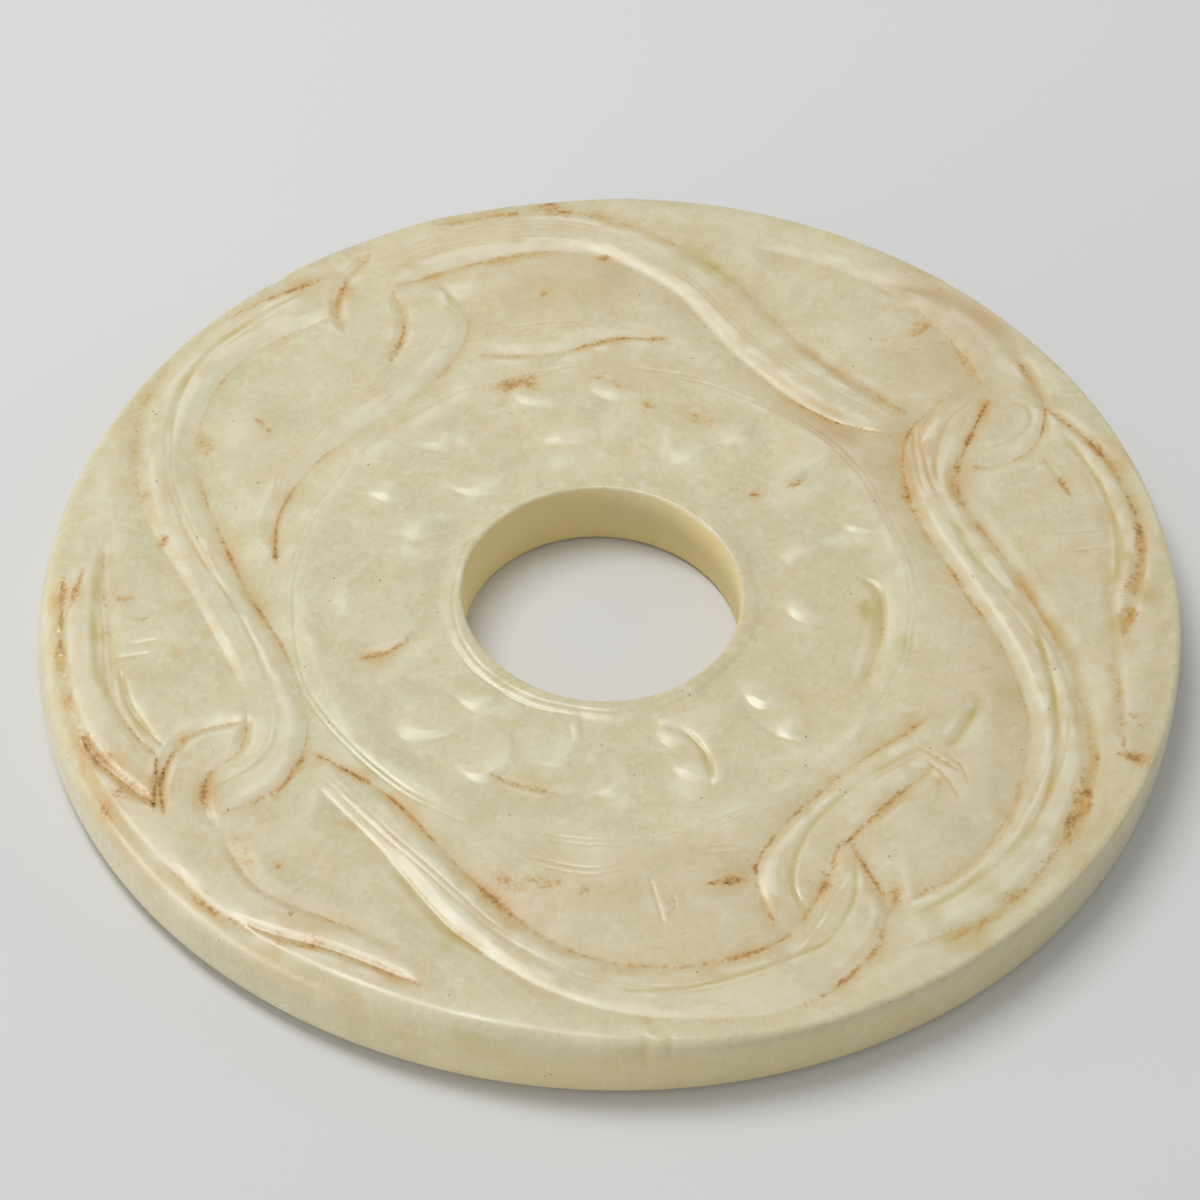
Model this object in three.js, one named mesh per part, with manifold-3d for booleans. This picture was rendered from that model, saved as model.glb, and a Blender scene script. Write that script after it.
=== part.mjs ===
// A carved jade bi: a flat ring of nephrite with a round hole in the middle.
// Its upper face has an inner ring of grain bosses and an outer ring of
// knotted ribbons, cut with slanted strokes. The underside is flat.
// Millimetres, +Z up. The origin is at the middle of the underside's box.

import * as THREE from 'three';
import { mergeVertices } from 'three/addons/utils/BufferGeometryUtils.js';
import Module from 'manifold-3d';

const wasm = await Module();
wasm.setup();

// Driving dimensions of the blank
const DISC_RADIUS = 28;
const DISC_THICKNESS = 3.86;
const DISC_SIDES = 112;
const UPPER_ARRIS = 0.45;
const LOWER_ARRIS = 0.3;
const ARRIS_CROWN = 0.3;
// The outline is a little out of round: shares of the radius that turn twice and three times
const OVAL = { twiceCos: 0.0118, twiceSin: -0.0046, thriceCos: -0.0036, thriceSin: -0.0035 };
const CIRCLE = { twiceCos: 0, twiceSin: 0, thriceCos: 0, thriceSin: 0 };
// Where the outline's centre lies, so that the origin is in the middle of its box
const OUTLINE_CENTRE = new THREE.Vector2(0.1, -0.1);
// All places below are measured from the outline's centre

// The hole and the rings round it share a centre that lies a little off the outline's
const HOLE_CENTRE = new THREE.Vector2(-0.35, -0.65);
const HOLE_RADIUS = 6.88;
const HOLE_SIDES = 64;
const PILOT_RADIUS = 4;
const CORE_RADIUS = 2;
const BORE_PAST = 1;
const HOLE_OVAL = { twiceCos: 0.0043, twiceSin: -0.0195, thriceCos: 0, thriceSin: 0 };

// The sunk ring with the grain bosses
const SUNK_INNER = 7.65;
const SUNK_OUTER = 15.4;
const SUNK_DEPTH = 0.17;
const SUNK_INNER_SLOPE = 0.6;
const SUNK_OUTER_SLOPE = 1.5;
const SUNK_SIDES = 72;
const GRAIN_RADIUS = 1.35;
const GRAIN_HEIGHT = 0.13;
const GRAIN_SIDES = 8;
const GRAIN_STEPS = 6;
// The angle in degrees and the distance from the outline's centre of each boss
const GRAINS = [
  [88, 11.9], [110, 12.7], [131, 12.5], [152, 12.3], [184, 12.7], [226, 13.2], [244, 12.9], [271, 13.1],
  [288, 13.3], [310, 13.2], [14, 12.7], [37, 12.7], [55, 11.9],
  [9, 9.3], [69, 9.3], [102, 9.1], [138, 9.3], [165, 9.6], [201, 10.4], [234, 10], [258, 10.4],
  [286, 10.4], [314, 10.2], [344, 9.7],
];

// Slanted strokes: how deep they are cut and how far their two sides run out
const RIBBON_CUT = { depth: 0.3, ribbonSide: 1.0, groundSide: 1.6 };
const SOFT_CUT = { depth: 0.2, ribbonSide: 0.7, groundSide: 1.1 };
const HOOK_CUT = { depth: 0.24, ribbonSide: 0.5, groundSide: 0.6 };
const RIM_CUT = { depth: 0.18, ribbonSide: 0.45, groundSide: 0.45 };
const LINE_CUT = { depth: 0.12, ribbonSide: 0.22, groundSide: 0.22 };
const STROKE_STEP = 1.9;
const STROKE_FADE = 1.6;
const STROKE_RUN_IN = 0.16;
const CUTTER_HEADROOM = 0.12;

// Each stroke: its cut, the side of travel where the ground lies (1 left, -1 right)
// and the points in millimetres that the blade passes through
const STROKES = [
  // Ribbon from the upper left knot along the rim and down to the right knot
  [RIBBON_CUT, -1, [-11.3, 20.8], [-7.3, 22.6], [-1.5, 23.5], [3.2, 20.6], [7, 15.2], [11.2, 11.2],
    [14.7, 9.8]],
  [SOFT_CUT, 1, [-9.5, 25.4], [-3, 26.7], [2, 25], [6.3, 21.7], [9.8, 16.8], [12.3, 14.1], [15.4, 11.4]],
  [LINE_CUT, 1, [-12.4, 22.4], [-8, 24.9], [-1.5, 25.5], [3.7, 22], [8.3, 16], [12.5, 12.7], [15, 11.1]],
  [HOOK_CUT, -1, [-12.6, 23.5], [-14, 21], [-14.3, 19], [-13.8, 17.3]],
  [HOOK_CUT, -1, [-11.4, 20.6], [-10.7, 17.8], [-11.4, 15.1]],
  // Its partner, which ends in a blade along the inner ring
  [RIBBON_CUT, 1, [-8.8, 21.2], [-7.3, 18.3], [-8.4, 14.9], [-11.4, 11.6], [-14.9, 8.3], [-16.6, 4.7],
    [-16.6, 1.4]],
  [LINE_CUT, -1, [-11.5, 14.2], [-14.3, 11.2], [-16.4, 8], [-16.9, 4.7]],
  // Leaf beside the upper left knot
  [SOFT_CUT, -1, [-7, 15.7], [-2.7, 15.8], [0.5, 16.9], [3.4, 16.8]],
  [LINE_CUT, 1, [-6.8, 17.3], [-2.7, 17.9], [1.2, 17.9]],
  // Ribbon from the upper left knot down the left side to the lower left knot
  [SOFT_CUT, -1, [-14.2, 21.9], [-19.8, 18.8], [-23.9, 12.8], [-23.6, 5.6], [-20.5, -0.8], [-17.5, -7.2]],
  [HOOK_CUT, -1, [-17.4, -8], [-17.6, -10.2], [-19.1, -12], [-19, -14.2], [-18.4, -15.1]],
  [RIBBON_CUT, 1, [-15, 18.5], [-19.4, 15.2], [-21.1, 9.5], [-18.3, 0.5], [-15.6, -4.8], [-14.5, -9.3],
    [-15.5, -12.5], [-18.3, -14.2]],
  [LINE_CUT, 1, [-16.7, 19.9], [-21.9, 14.2], [-22.3, 7.5], [-19.7, 0.7], [-16.5, -6.3], [-16.3, -10.2],
    [-18.8, -13]],
  // Strand along the left rim and the hook that clasps the lower left knot
  [RIM_CUT, -1, [-27.1, 0.6], [-26.6, -5.4], [-25, -10], [-21.4, -13.8]],
  [SOFT_CUT, 1, [-25.4, 3], [-24.7, -2.5], [-23.8, -7.7], [-21.6, -10.8]],
  [HOOK_CUT, -1, [-17.3, -8.5], [-20.2, -9.5], [-21.3, -12], [-21, -14.2]],
  [RIM_CUT, -1, [-20.8, -16.8], [-18.3, -19.8], [-12.7, -22], [-8.5, -24]],
  [SOFT_CUT, 1, [-18.2, -15.6], [-16.5, -18.4], [-13, -20.3], [-9.5, -22]],
  // Ribbon from the lower left knot along the lower rim to the lower right knot
  [RIBBON_CUT, 1, [-14.1, -10.6], [-10.5, -13.1], [-6.5, -18], [-2, -22], [3, -23], [8, -21.4],
    [10.2, -17.8], [10.8, -16]],
  [SOFT_CUT, -1, [-14.6, -11.8], [-10.6, -16.4], [-7.2, -20.9], [-3, -24.3], [2.5, -25.9], [9.2, -24.9],
    [12.7, -20.6], [11.3, -16.1]],
  [LINE_CUT, 1, [-13.7, -11.8], [-8.7, -17.3], [-4.2, -21.7], [2, -24.3], [8, -22.7], [11.2, -18]],
  // Its partner, with a cut head towards the right
  [RIBBON_CUT, -1, [15.7, -8.5], [11.8, -11.4], [8.4, -14.8], [6.8, -17.6], [7.7, -21.2]],
  [HOOK_CUT, 1, [15.5, -11.5], [12.8, -14.2], [10.8, -16.4]],
  [HOOK_CUT, 1, [17.4, -7.2], [17.2, -8.6], [16, -10.7]],
  [LINE_CUT, 1, [-4.5, -16.8], [-0.7, -17.7], [2.7, -16.7], [6.8, -16.3]],
  // Ribbon from the right knot down the right side to the lower right knot
  [RIBBON_CUT, -1, [17.6, 12.6], [15.4, 9.8], [15.3, 5.4], [17.4, 0], [19.4, -4.8], [20.1, -10],
    [17.7, -16.3], [13.4, -19.8]],
  [SOFT_CUT, 1, [19.8, 12.4], [18.3, 8.9], [17.6, 6.3], [20.2, 0.6], [22.6, -6.5], [22.6, -13],
    [18.8, -19.1], [13.4, -22.3]],
  [LINE_CUT, 1, [17.2, 4.7], [19.2, 0.3], [21.8, -6], [21.2, -11.5], [17.5, -18], [13.3, -20.7]],
  // Hook that clasps the right knot and the strand along the right rim
  [SOFT_CUT, -1, [7, 24], [13.7, 21.1], [17.6, 17.3], [19.6, 12.9]],
  [HOOK_CUT, 1, [21.4, 15.6], [22.6, 11.4], [21.5, 8.6], [18.5, 7.4]],
  [RIM_CUT, 1, [22.4, 12], [25.5, 8], [26.7, 2.6], [25.2, -3.6]],
  [SOFT_CUT, -1, [23.4, 9.6], [25.1, 5.3], [24.9, -0.8], [24.7, -6.5], [24.6, -10.8]],
];

const JADE = { colour: 0xd6cfa6, roughness: 0.34, metalness: 0 };

// How far the radius at an angle differs from a true circle's, as a factor
function outOfRound(angle, oval) {
  return 1
    + oval.twiceCos * Math.cos(2 * angle) + oval.twiceSin * Math.sin(2 * angle)
    + oval.thriceCos * Math.cos(3 * angle) + oval.thriceSin * Math.sin(3 * angle);
}

// A solid for joining and cutting, from a closed three.js geometry
function toSolid(geometry) {
  const bare = geometry.clone();
  bare.deleteAttribute('normal');
  bare.deleteAttribute('uv');
  const merged = mergeVertices(bare, 1e-5);
  return new wasm.Manifold(new wasm.Mesh({
    numProp: 3,
    vertProperties: new Float32Array(merged.attributes.position.array),
    triVerts: new Uint32Array(merged.index.array),
  }));
}

function toGeometry(solid) {
  const mesh = solid.getMesh();
  const geometry = new THREE.BufferGeometry();
  geometry.setAttribute('position', new THREE.BufferAttribute(mesh.vertProperties, 3));
  geometry.setIndex(new THREE.BufferAttribute(mesh.triVerts, 1));
  geometry.computeVertexNormals();
  return geometry;
}

// A ring turned from a closed profile of [radius, height], standing along +Z and bent out of round
function turned(profile, sides, oval) {
  const closed = [...profile, profile[0]].map(([radius, height]) => new THREE.Vector2(radius, height));
  const geometry = new THREE.LatheGeometry(closed, sides).rotateX(Math.PI / 2);
  const position = geometry.attributes.position;
  for (let i = 0; i < position.count; i += 1) {
    const x = position.getX(i);
    const y = position.getY(i);
    const factor = outOfRound(Math.atan2(y, x), oval);
    position.setXY(i, x * factor, y * factor);
  }
  return geometry;
}

// The plain disc: flat underside, upright rim and rounded arrises, open in the middle
function discBlank() {
  const profile = [
    [PILOT_RADIUS, 0],
    [DISC_RADIUS - LOWER_ARRIS, 0],
    [DISC_RADIUS, LOWER_ARRIS],
    [DISC_RADIUS, DISC_THICKNESS - UPPER_ARRIS],
    [DISC_RADIUS - UPPER_ARRIS * ARRIS_CROWN, DISC_THICKNESS - UPPER_ARRIS * ARRIS_CROWN],
    [DISC_RADIUS - UPPER_ARRIS, DISC_THICKNESS],
    [PILOT_RADIUS, DISC_THICKNESS],
  ];
  return toSolid(turned(profile, DISC_SIDES, OVAL));
}

// What is bored away for the hole
function holeCutter() {
  const profile = [
    [CORE_RADIUS, -BORE_PAST],
    [HOLE_RADIUS, -BORE_PAST],
    [HOLE_RADIUS, DISC_THICKNESS + BORE_PAST],
    [CORE_RADIUS, DISC_THICKNESS + BORE_PAST],
  ];
  const geometry = turned(profile, HOLE_SIDES, HOLE_OVAL);
  return toSolid(geometry.translate(HOLE_CENTRE.x, HOLE_CENTRE.y, 0));
}

// What is ground away round the hole, sloping up to the lip and to the outer zone
function sunkRingCutter() {
  const rise = CUTTER_HEADROOM;
  const innerRun = SUNK_INNER_SLOPE * rise / SUNK_DEPTH;
  const outerRun = SUNK_OUTER_SLOPE * rise / SUNK_DEPTH;
  const profile = [
    [SUNK_INNER - innerRun, DISC_THICKNESS + rise],
    [SUNK_INNER + SUNK_INNER_SLOPE, DISC_THICKNESS - SUNK_DEPTH],
    [SUNK_OUTER - SUNK_OUTER_SLOPE, DISC_THICKNESS - SUNK_DEPTH],
    [SUNK_OUTER + outerRun, DISC_THICKNESS + rise],
  ];
  const geometry = turned(profile, SUNK_SIDES, CIRCLE);
  return toSolid(geometry.translate(HOLE_CENTRE.x, HOLE_CENTRE.y, 0));
}

// One low boss on the floor of the sunk ring
function grain([degrees, distance]) {
  const angle = THREE.MathUtils.degToRad(degrees);
  const geometry = new THREE.SphereGeometry(1, GRAIN_SIDES, GRAIN_STEPS).rotateX(Math.PI / 2);
  geometry.scale(GRAIN_RADIUS, GRAIN_RADIUS, GRAIN_HEIGHT);
  geometry.translate(
    distance * Math.cos(angle),
    distance * Math.sin(angle),
    DISC_THICKNESS - SUNK_DEPTH,
  );
  return toSolid(geometry);
}

// What one slanted stroke takes away: a V drawn out straight, bent along the stroke's
// curve and lifted out of the stone at both ends
function strokeCutter([cut, ground, ...points]) {
  const path = new THREE.CatmullRomCurve3(points.map(([x, y]) => new THREE.Vector3(x, y, 0)));
  const length = path.getLength();
  const rise = CUTTER_HEADROOM / cut.depth;
  const left = ground > 0 ? cut.groundSide : cut.ribbonSide;
  const right = ground > 0 ? cut.ribbonSide : cut.groundSide;
  const section = new THREE.Shape([
    new THREE.Vector2(0, -cut.depth),
    new THREE.Vector2(left * (1 + rise), CUTTER_HEADROOM),
    new THREE.Vector2(-right * (1 + rise), CUTTER_HEADROOM),
  ]);
  const steps = Math.ceil(length / STROKE_STEP);
  const geometry = new THREE.ExtrudeGeometry(section, { depth: 1, steps, bevelEnabled: false });
  const position = geometry.attributes.position;
  for (let i = 0; i < position.count; i += 1) {
    const along = THREE.MathUtils.clamp(position.getZ(i), 0, 1);
    const place = path.getPointAt(along);
    const ahead = path.getTangentAt(along);
    const fromEnd = Math.min(along, 1 - along) * length;
    const lift = cut.depth * (1 - THREE.MathUtils.smoothstep(fromEnd, -STROKE_RUN_IN, STROKE_FADE));
    const across = position.getX(i);
    position.setXYZ(
      i,
      place.x - ahead.y * across,
      place.y + ahead.x * across,
      DISC_THICKNESS + position.getY(i) + lift,
    );
  }
  return toSolid(geometry);
}

function carvedDisc() {
  let solid = discBlank().subtract(sunkRingCutter());
  for (const place of GRAINS) {
    solid = solid.add(grain(place));
  }
  for (const stroke of STROKES) {
    solid = solid.subtract(strokeCutter(stroke));
  }
  return solid.subtract(holeCutter());
}

const jade = new THREE.MeshStandardMaterial({
  color: JADE.colour,
  roughness: JADE.roughness,
  metalness: JADE.metalness,
});
const disc = new THREE.Mesh(toGeometry(carvedDisc()), jade);
disc.name = 'jade_disc';
disc.position.set(OUTLINE_CENTRE.x, OUTLINE_CENTRE.y, 0);

const bi = new THREE.Group();
bi.add(disc);

export default bi;
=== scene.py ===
import math

import bpy
import numpy as np
from mathutils import Matrix, Vector


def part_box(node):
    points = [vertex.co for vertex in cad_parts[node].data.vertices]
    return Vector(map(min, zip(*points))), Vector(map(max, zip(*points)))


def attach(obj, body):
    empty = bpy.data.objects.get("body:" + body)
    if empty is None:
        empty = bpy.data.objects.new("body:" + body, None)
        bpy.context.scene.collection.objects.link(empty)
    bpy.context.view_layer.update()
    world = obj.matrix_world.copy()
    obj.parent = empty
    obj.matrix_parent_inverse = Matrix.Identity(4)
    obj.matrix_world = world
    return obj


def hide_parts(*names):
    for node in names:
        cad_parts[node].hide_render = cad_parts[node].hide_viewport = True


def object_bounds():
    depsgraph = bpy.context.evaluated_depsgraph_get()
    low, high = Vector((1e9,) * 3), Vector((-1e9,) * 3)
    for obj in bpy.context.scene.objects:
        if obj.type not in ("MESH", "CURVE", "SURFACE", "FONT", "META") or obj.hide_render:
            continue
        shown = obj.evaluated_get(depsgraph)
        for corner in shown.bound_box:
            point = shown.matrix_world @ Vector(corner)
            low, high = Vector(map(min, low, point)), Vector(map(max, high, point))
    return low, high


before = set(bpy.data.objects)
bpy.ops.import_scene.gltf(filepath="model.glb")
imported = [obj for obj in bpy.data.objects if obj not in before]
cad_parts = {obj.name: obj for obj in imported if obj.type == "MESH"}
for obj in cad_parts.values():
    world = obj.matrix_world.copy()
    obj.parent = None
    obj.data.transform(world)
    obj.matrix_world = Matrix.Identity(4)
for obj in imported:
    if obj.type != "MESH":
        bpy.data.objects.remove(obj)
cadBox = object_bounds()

# Jade bi disc: one carved ring of nephrite lying on a pale floor.
# The carving is worked out in millimetres on a fine height map, then laid over a ring of mesh.

millimetre = 0.001
thickness = (cadBox[1].z - cadBox[0].z) / millimetre
rng = np.random.default_rng(7)
addToScene = bpy.context.scene.collection.objects.link

disc = {
    "radius": 28.0,
    "oval": (0.0118, -0.0046, -0.0036, -0.0035),  # shares of the radius: cos 2a, sin 2a, cos 3a, sin 3a
    "holeRadius": 6.88,
    "holeOval": (0.0043, -0.0195, 0.0, 0.0),
    "holeWidest": 1.02,  # share of the hole's radius that its oval reaches
    "holeCentre": np.array((-0.35, -0.65)),  # from the outline's centre
    "softArris": (1.3, 2.1),  # rounding of the upper rim, across and down, where it is worn
    "crispArris": (0.3, 0.34),  # and where the edge is still sharp
    "wornTowards": 215,  # degrees
    "wornSpan": (0.6, 0.95),  # how near that heading the wear begins and is full, 0 to 1
    # chips out of the upper rim: angle, width and size (mm)
    "chips": [(273.3, 0.3, 0.2), (275.6, 0.22, 0.15), (129.3, 0.5, 0.2), (283, 0.3, 0.12), (296, 0.4, 0.15)],
    "lowerArris": 0.75,
    "lipArris": 0.18,
    "boreArris": 0.3,
    "rimBulge": 0.06,
}

mapGrid = {"half": 29.0, "cell": 0.05}
axis = np.arange(-mapGrid["half"], mapGrid["half"], mapGrid["cell"])
mapX, mapY = np.meshgrid(axis, axis)
height = np.zeros_like(mapX)
# rust, ochre, green and wash are stains; pale holds scuffs and painted highlights
stainsAndHighlights = {name: np.zeros_like(mapX) for name in ("rust", "ochre", "green", "wash", "pale")}


def outOfRound(angle, oval):
    return (1 + oval[0] * np.cos(2 * angle) + oval[1] * np.sin(2 * angle)
            + oval[2] * np.cos(3 * angle) + oval[3] * np.sin(3 * angle))


def rimRadius(angle):
    return disc["radius"] * outOfRound(angle, disc["oval"])


def smooth(low, high, value):
    share = np.clip((value - low) / (high - low), 0, 1)
    return share * share * (3 - 2 * share)


def blurred(values, width):
    # Gaussian blur of a map, width in millimetres
    turns = np.fft.fftfreq(values.shape[0], mapGrid["cell"])
    turnsAcross = np.fft.rfftfreq(values.shape[1], mapGrid["cell"])
    keep = np.exp(-2 * (math.pi * width) ** 2 * (turns[:, None] ** 2 + turnsAcross[None, :] ** 2))
    return np.fft.irfft2(np.fft.rfft2(values) * keep, s=values.shape)


def grit(width):
    # even noise of a given grain, mean 0 and spread 1
    noise = blurred(rng.standard_normal(mapX.shape), width)
    return (noise - noise.mean()) / noise.std()


raggedEdge = np.clip(1 + 0.4 * grit(0.4), 0.4, 2)  # stains are not of one width


def trace(points, step=0.25):
    # smooth line through the given points, with centripetal spacing so it never loops
    hand = np.array(points, float)
    chain = np.vstack([2 * hand[0] - hand[1], hand, 2 * hand[-1] - hand[-2]])
    line = []
    for four in zip(chain, chain[1:], chain[2:], chain[3:]):
        knots = [0.0]
        for a, b in zip(four, four[1:]):
            knots.append(knots[-1] + math.sqrt(max(np.linalg.norm(b - a), 1e-3)))
        count = max(2, int(np.linalg.norm(four[2] - four[1]) / step))
        t = np.linspace(knots[1], knots[2], count, endpoint=False)[:, None]
        for pairs in (((0, 1), (1, 2), (2, 3)), ((0, 2), (1, 3)), ((1, 2),)):
            four = [((knots[j] - t) * a + (t - knots[i]) * b) / (knots[j] - knots[i])
                    for (i, j), a, b in zip(pairs, four, four[1:])]
        line.append(four[0])
    line.append(hand[-1:])
    return np.vstack(line)


def measure(points, reach):
    # the window of the map round a line, the signed distance to it (left positive)
    # and how far along it each cell lies, in millimetres
    line = trace(points)
    low, high = line.min(0) - reach, line.max(0) + reach
    columns = slice(*np.searchsorted(axis, (low[0], high[0])))
    rows = slice(*np.searchsorted(axis, (low[1], high[1])))
    alongX, alongY = axis[columns], axis[rows]
    nearest = np.full((len(alongY), len(alongX)), float(reach))
    across, along = nearest.copy(), np.zeros_like(nearest)
    walked = 0.0
    for a, b in zip(line, line[1:]):
        step = b - a
        length = np.linalg.norm(step)
        boxLow, boxHigh = np.minimum(a, b) - reach, np.maximum(a, b) + reach
        c = slice(*np.searchsorted(alongX, (boxLow[0], boxHigh[0])))
        r = slice(*np.searchsorted(alongY, (boxLow[1], boxHigh[1])))
        dx = alongX[c][None, :] - a[0]
        dy = alongY[r][:, None] - a[1]
        share = np.clip((dx * step[0] + dy * step[1]) / length ** 2, 0, 1)
        distance = np.hypot(dx - share * step[0], dy - share * step[1])
        closer = distance < nearest[r, c]
        side = np.where(step[0] * dy - step[1] * dx >= 0, 1.0, -1.0)
        for values, found in ((nearest, distance), (across, distance * side), (along, walked + share * length)):
            values[r, c] = np.where(closer, found, values[r, c])
        walked += length
    return (rows, columns), across, along, walked


# The carving, all places from the outline's centre, +Y away from the viewer.
# Each cut, in millimetres: depth, how far it runs out on the ribbon's side and on the ground's,
# how those two sides curve (a power), how soon its ends fade out, how wide the rust in it is.
cuts = {
    "ribbon": (0.19, 0.9, 2.4, 1.2, 1.5, 2.4, 0.11),
    "gentle": (0.14, 0.9, 2.2, 1.4, 1.5, 2.4, 0.12),
    "blade": (0.2, 0.9, 1.9, 1.0, 1.6, 2.0, 0.11),
    "soft": (0.1, 0.8, 1.8, 1.4, 1.3, 3.0, 0.14),
    "low": (0.06, 0.4, 0.9, 1.3, 1.3, 1.2, 0.14),
    "hook": (0.1, 0.45, 0.6, 1.2, 1.3, 0.9, 0.13),
    "rim": (0.085, 0.45, 0.45, 1.2, 1.2, 1.2, 0.2),
    "leaf": (0.13, 0.9, 0.5, 1.0, 1.3, 1.2, 0.13),
    "scoop": (0.07, 0.3, 1.1, 1.2, 1.8, 1.0, 0.13),
    "hatch": (0.045, 0.12, 0.2, 1.0, 1.2, 0.6, 0.12),
}

# Each stroke: cut, side of travel where the ground lies (1 left, -1 right),
# how strongly rust sits in it from start to end, the points of the line
# and, where a facet is paler, how pale it is from start to end: a rough matt facet with a painted highlight.
strokes = [
    # ribbon from the upper left knot along the rim and down to the right knot
    ("blade", -1, (0.8, 0.95, 0.6, 0.15, 0, 0.1, 0.2, 0.15, 0.5, 0.8, 0.3),
     [(-11.3, 20.8), (-7.3, 22.6), (-1.5, 23.5), (3.2, 20.6), (7, 15.2), (11.2, 11.2), (14.7, 9.8)],
     (0.1, 0.9, 1, 0.9, 0.15, 0.2, 0.6, 0.6, 0.3, 0.5, 0.8, 0.6, 0.1)),
    ("soft", 1, (0.3, 0.7, 0.7, 0.8, 0.45, 0.2, 0.25, 0.3, 0.4, 0.5, 0.5),
     [(-9.5, 25.4), (-3, 26.7), (2, 25), (6.3, 21.7), (9.8, 16.8), (12.3, 14.1), (15.4, 11.4)]),
    ("hook", -1, (0.5, 0.9, 0.7, 0.1), [(-12.6, 23.5), (-14, 21), (-14.3, 19), (-13.8, 17.3)]),
    ("hook", -1, (0.5, 0.9, 0.9, 0.5, 0.3), [(-11.4, 20.6), (-10.7, 17.8), (-11.4, 15.1)]),
    # its partner, which ends in a blade along the inner ring
    ("blade", 1, (0, 0.1, 0.6, 0.8, 0.15, 0.05, 0.1, 0.4, 0.8, 0.95, 0.6),
     [(-8.8, 21.2), (-7.3, 18.3), (-8.4, 14.9), (-11.4, 11.6), (-14.9, 8.3), (-16.6, 4.7), (-16.6, 1.4)],
     (0, 0.1, 0.7, 1, 1, 1, 0.9, 0.7, 0.5, 0.2, 0)),
    # ribbon from the upper left knot down the left side to the lower left knot
    ("soft", -1, (0.8, 0.6, 0.1, 0.3, 0.45, 0.3, 0.2, 0.1, 0.1, 0),
     [(-14.2, 21.9), (-19.8, 18.8), (-23.9, 12.8), (-23.6, 5.6), (-20.5, -0.8), (-17.5, -7.2)]),
    ("hook", -1, (0.4, 0.6, 0.4, 0.8, 0.3), [(-17.4, -8), (-17.6, -10.2), (-19.1, -12), (-19, -14.2), (-18.4, -15.1)]),
    ("ribbon", 1, (0.2, 0.4, 0.35, 0.3, 0.2, 0.4, 0.75, 0.6, 0.1, 0.3, 0.8, 0.2),
     [(-15, 18.5), (-19.4, 15.2), (-21.1, 9.5), (-18.3, 0.5), (-15.6, -4.8), (-14.5, -9.3), (-15.5, -12.5),
      (-18.3, -14.2)]),
    ("blade", 1, (0.1, 0.2, 0.1), [(-14.2, 18.8), (-17.5, 17), (-19.4, 15.2), (-20.5, 13), (-21.2, 10), (-21, 7)],
     (0.6, 1, 1, 0.9, 0.6, 0.4, 0.2)),
    # strand along the left rim and the hook that clasps the lower left knot
    ("rim", -1, (0.4, 0.7, 0.6, 0.8, 1.0, 0.9, 0.7), [(-27.1, 0.6), (-26.6, -5.4), (-25, -10), (-21.4, -13.8)]),
    ("low", 1, (0.1, 0.3, 0.2, 0.3, 0.5), [(-25.4, 3), (-24.7, -2.5), (-23.8, -7.7), (-21.6, -10.8)]),
    ("hook", -1, (0.3, 0.6, 0.8, 0.9, 0.8), [(-17.3, -8.5), (-20.2, -9.5), (-21.3, -12), (-21, -14.2)]),
    ("rim", -1, (0.2, 0.6, 0.7, 0.5, 0.4), [(-20.8, -16.8), (-18.3, -19.8), (-12.7, -22), (-8.5, -24)]),
    ("low", 1, (0.3, 0.1, 0.2, 0.1), [(-18.2, -15.6), (-16.5, -18.4), (-13, -20.3), (-9.5, -22)]),
    # ribbon from the lower left knot along the lower rim to the lower right knot
    ("gentle", 1, (0.8, 0.9, 0.6, 0.5, 0.8, 0.3, 0.6, 0.5, 0.4, 0.5, 0.7, 0.8),
     [(-14.1, -10.6), (-10.5, -13.1), (-6.5, -18), (-2, -22), (3, -23), (8, -21.4), (10.2, -17.8), (10.8, -16)]),
    ("soft", -1, (0.1, 0.1, 0.3, 0.3, 0.1, 0, 0.1, 0.2, 0.7, 0.8, 0.5),
     [(-14.6, -11.8), (-10.6, -16.4), (-7.2, -20.9), (-3, -24.3), (2.5, -25.9), (9.2, -24.9), (12.7, -20.6),
      (11.3, -16.1)]),
    # its partner, with a cut head towards the right
    ("gentle", -1, (0.7, 0.7, 0.2, 0.4, 0.7, 0.8, 0.3),
     [(15.7, -8.5), (11.8, -11.4), (8.4, -14.8), (6.8, -17.6), (7.7, -21.2)]),
    ("hook", 1, (0.4, 0.9, 0.6), [(15.5, -11.5), (12.8, -14.2), (10.8, -16.4)]),
    ("low", 1, (0.1, 0.1, 0.2), [(17.4, -7.2), (17.2, -8.6), (16, -10.7)]),
    # ribbon from the right knot down the right side to the lower right knot
    ("ribbon", -1, (0.2, 0.4, 0.7, 0.8, 0.6, 0.4, 0.35, 0.1, 0.6, 0.5, 0.2),
     [(17.6, 12.6), (15.4, 9.8), (15.3, 5.4), (17.4, 0), (19.4, -4.8), (20.1, -10), (17.7, -16.3), (13.4, -19.8)]),
    ("soft", 1, (0.8, 0.8, 0.6, 0.3, 0.2, 0.3, 0.6, 0.9, 0.5, 0.3, 0.2),
     [(19.8, 12.4), (18.3, 8.9), (17.6, 6.3), (20.2, 0.6), (22.6, -6.5), (22.6, -13), (18.8, -19.1), (13.4, -22.3)]),
    # hook that clasps the right knot and the strand along the right rim
    ("soft", -1, (0, 0.1, 0.2, 0.5), [(7, 24), (13.7, 21.1), (17.6, 17.3), (19.6, 12.9)]),
    ("hook", 1, (0.3, 0.7, 0.8, 0.5), [(21.4, 15.6), (22.6, 11.4), (21.5, 8.6), (18.5, 7.4)]),
    ("rim", 1, (0.6, 0.8, 0.9, 0.9, 1.0), [(22.4, 12), (25.5, 8), (26.7, 2.6), (25.2, -3.6)]),
    ("low", -1, (0.1, 0.2, 0.2, 0.2, 0.7), [(23.4, 9.6), (25.1, 5.3), (24.9, -0.8), (24.7, -6.5), (24.6, -10.8)]),
]

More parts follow.
